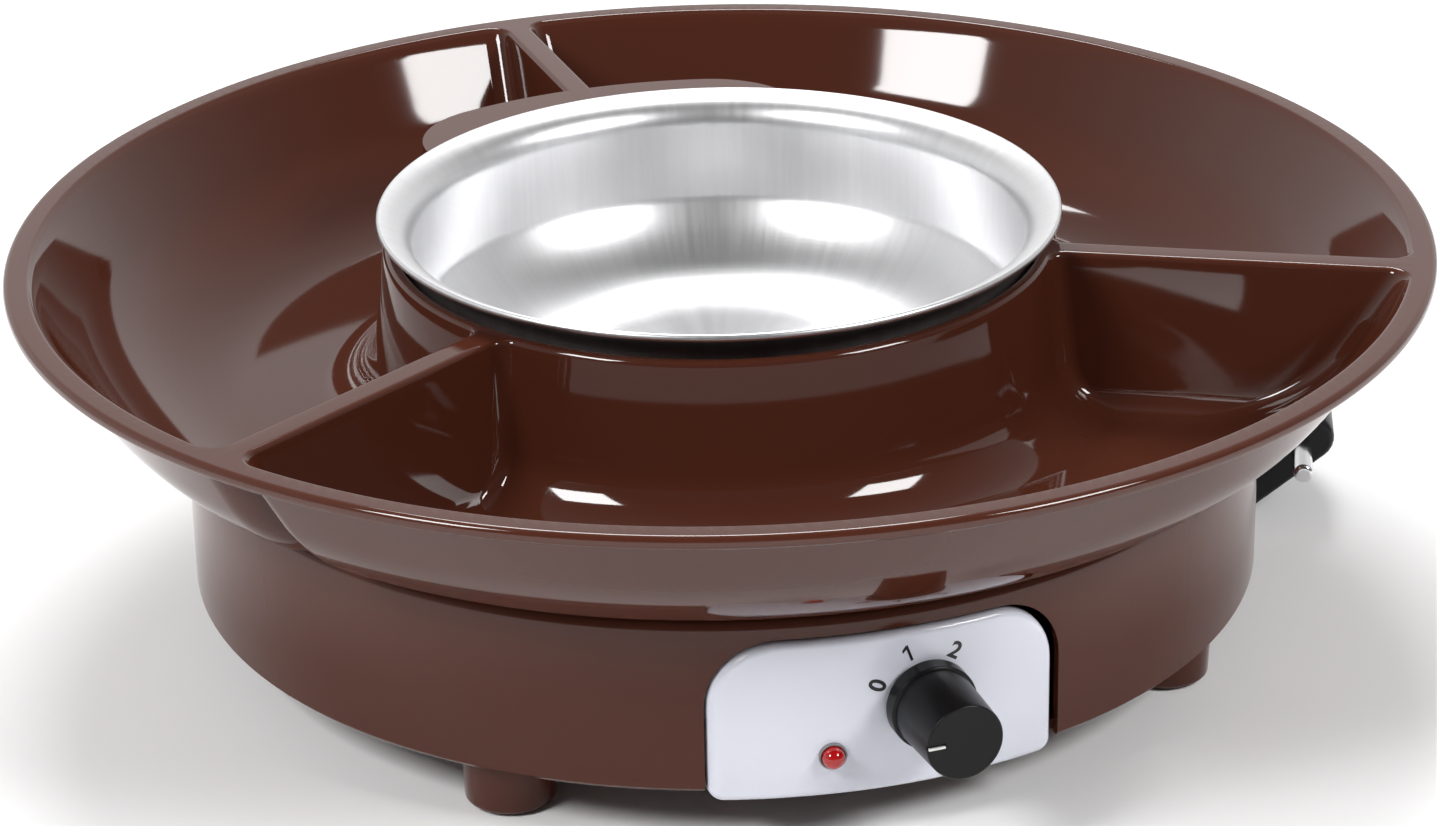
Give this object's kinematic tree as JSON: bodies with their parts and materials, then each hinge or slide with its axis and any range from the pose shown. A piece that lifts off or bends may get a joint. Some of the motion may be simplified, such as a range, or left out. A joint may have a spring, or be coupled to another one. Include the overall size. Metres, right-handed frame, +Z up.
{
  "type": "electric fondue pot",
  "caption": "Round electric fondue pot: a heated base with a rotary control and lead, a lift-off serving tray with tubs round its hub, and a lift-out flared melting pot.",
  "frame": {"origin": "on the floor, under the middle of the base, where the feet's pads rest", "axes": "+Z up through the pot; -Y from the middle towards the control panel; +X to the right of the panel as a user faces it; the lead leaves the base at +Y"},
  "size_m": [0.3459, 0.3789, 0.0999],
  "materials": {
    "brown_gloss_tray": "glossy chocolate-brown moulding",
    "brown_gloss_base": "glossy chocolate-brown moulding",
    "brown_matte": "matte dark brown moulding",
    "satin_aluminium": "satin spun aluminium",
    "white_panel": "glossy white moulding",
    "black_knob": "semi-gloss black moulding",
    "red_lens": "clear red lens",
    "grey_bezel": "matte grey ring",
    "plated_steel": "zinc-plated",
    "cast_plate": "machined cast aluminium",
    "element_steel": "heat-darkened tube",
    "shield_sheet": "bright sheet",
    "black_plastic": "matte black heat-resistant moulding",
    "cream_ceramic": "matte cream insulator",
    "brass": "plain brass",
    "wire_sleeve": "red-brown heat-resistant sleeve",
    "black_rubber": "matte rubber",
    "cord_black": "matte black sheath",
    "plug_black": "satin black moulding",
    "plated_pins": "nickel-plated"
  },
  "bodies": {
    "base": {"base_shell": "brown_gloss_base", "bottom_cover": "brown_matte", "feet": "brown_gloss_base", "foot_pads": "black_rubber", "cover_screws": "plated_steel", "control_panel": "white_panel", "rotary_switch": "black_plastic", "switch_nut": "plated_steel", "switch_washer": "plated_steel", "indicator_lens": "red_lens", "indicator_bezel": "grey_bezel", "indicator_socket": "black_plastic", "heater_plate": "cast_plate", "insulating_ring": "black_plastic", "heating_element": "element_steel", "heat_shield": "shield_sheet", "shield_screws": "plated_steel", "thermostat": "cream_ceramic", "thermostat_screws": "plated_steel", "thermal_fuse": "cream_ceramic", "fuse_clip": "plated_steel", "terminal_block": "cream_ceramic", "terminal_screws": "brass", "cord_clamp": "cream_ceramic", "clamp_screws": "plated_steel", "inner_lead": "cord_black", "inner_wires": "wire_sleeve", "strain_relief": "cord_black", "cord_lead": "cord_black", "cord_coil": "cord_black", "cord_tail": "cord_black", "plug_body": "plug_black", "plug_pins": "plated_pins"},
    "knob": {"control_knob": "black_knob", "switch_shaft": "plated_steel"},
    "tray": {"serving_tray": "brown_gloss_tray"},
    "pot": {"melting_pot": "satin_aluminium"}
  },
  "joints": [
    {"name": "knob_turn", "type": "hinge", "parent": "base", "child": "knob", "pos_m": [0, -0.14, 0.0322], "axis": [0, 1, 0], "range_deg": [0, 104]},
    {"name": "tray_lift", "type": "slide", "parent": "base", "child": "tray", "axis": [0, 0, 1], "range_m": [0, 0.08]},
    {"name": "pot_lift", "type": "slide", "parent": "tray", "child": "pot", "axis": [0, 0, 1], "range_m": [0, 0.08]}
  ]
}
